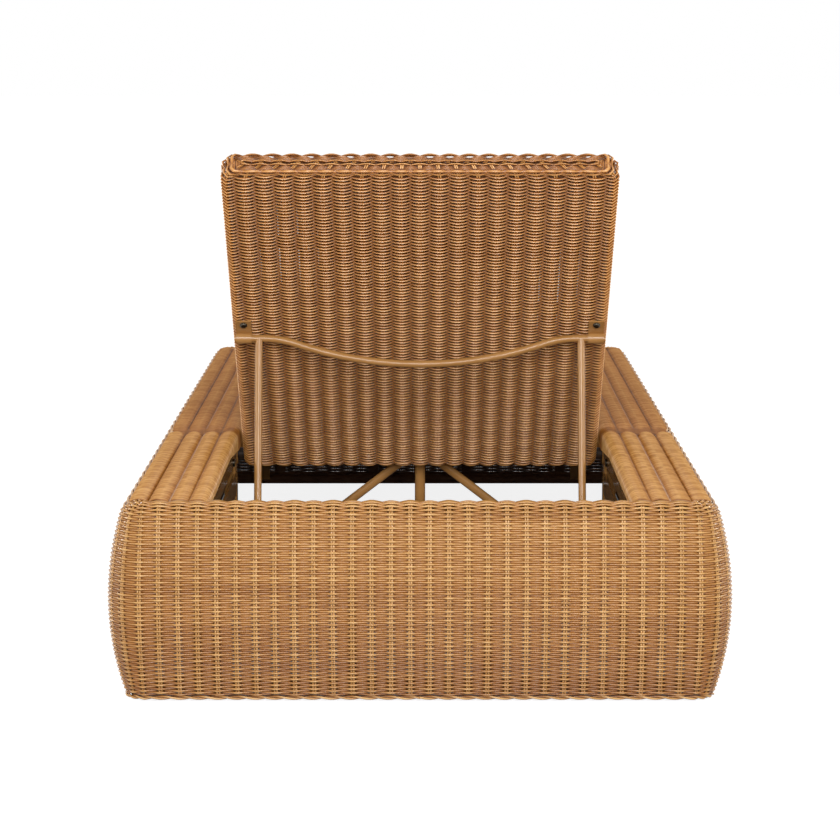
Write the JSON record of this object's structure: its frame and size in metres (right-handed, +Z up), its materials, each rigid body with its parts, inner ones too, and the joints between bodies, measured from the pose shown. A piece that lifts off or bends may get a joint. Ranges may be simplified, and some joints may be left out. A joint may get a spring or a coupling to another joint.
{
  "type": "wicker chaise longue",
  "caption": "Low woven chaise longue with barrel-shaped walls, flat arms, a recessed seat deck and a reclining backrest held by a bail prop on notched rails.",
  "frame": {"origin": "centre of the base on the floor", "axes": "+X across, to the right seen from the head end; +Y along the seat from the head end to the foot end; +Z up"},
  "size_m": [0.914, 2, 0.7827],
  "materials": {
    "wicker": "woven round resin strand, natural tan",
    "frame": "satin powder coat, warm tan",
    "bolt": "darkened stainless steel",
    "nylon": "moulded nylon, dark brown"
  },
  "bodies": {
    "base": {"end_wall_ribs": "frame", "floor_crossbars": "frame", "floor_glides": "nylon", "front_floor_rail": "frame", "front_top_rail": "frame", "front_wall_wicker": "wicker", "hinge_bolts": "bolt", "hinge_crossbar": "frame", "hinge_posts": "frame", "hinge_spacers": "nylon", "inner_posts": "frame", "left_arm_front_wicker": "wicker", "left_arm_rear_wicker": "wicker", "left_floor_rail": "frame", "left_hinge_plate": "frame", "left_inner_arm_rail": "frame", "left_notch_rail": "frame", "left_outer_top_rail": "frame", "left_seat_rail": "frame", "left_side_ribs": "frame", "left_side_wicker": "wicker", "left_truss_strut": "frame", "notch_rail_bolts": "bolt", "notch_rail_hangers": "frame", "outer_posts": "frame", "rear_floor_rail": "frame", "rear_top_rail": "frame", "rear_wall_wicker": "wicker", "right_arm_front_wicker": "wicker", "right_arm_rear_wicker": "wicker", "right_floor_rail": "frame", "right_hinge_plate": "frame", "right_inner_arm_rail": "frame", "right_notch_rail": "frame", "right_outer_top_rail": "frame", "right_seat_rail": "frame", "right_side_ribs": "frame", "right_side_wicker": "wicker", "right_truss_strut": "frame", "seat_centre_leg": "frame", "seat_deck_wicker": "wicker", "seat_front_crossbar": "frame", "seat_slats": "frame", "truss_centre_post": "frame", "woven_borders": "frame"},
    "backrest": {"backrest_cross_tubes": "frame", "backrest_foot_tube": "frame", "backrest_head_tube": "frame", "backrest_left_tube": "frame", "backrest_right_tube": "frame", "backrest_wicker": "wicker", "hinge_bushes": "nylon", "left_prop_clip": "frame", "right_prop_clip": "frame", "clip_bolts": "bolt"},
    "prop": {"prop_rod": "frame", "left_prop_leg": "frame", "right_prop_leg": "frame", "prop_foot_bar": "frame", "prop_end_plugs": "nylon"}
  },
  "joints": [
    {"name": "backrest_recline", "type": "hinge", "parent": "base", "child": "backrest", "pos_m": [0, -0.178, 0.242], "axis": [1, 0, 0], "range_deg": [0, 45]},
    {"name": "prop_fold", "type": "hinge", "parent": "backrest", "child": "prop", "pos_m": [0, -0.45229, 0.47259], "axis": [1, 0, 0], "range_deg": [-116.8, 0]}
  ],
  "couplings": [
    {"joint": "prop_fold", "follows": "backrest_recline", "ratio": -2.5946}
  ]
}
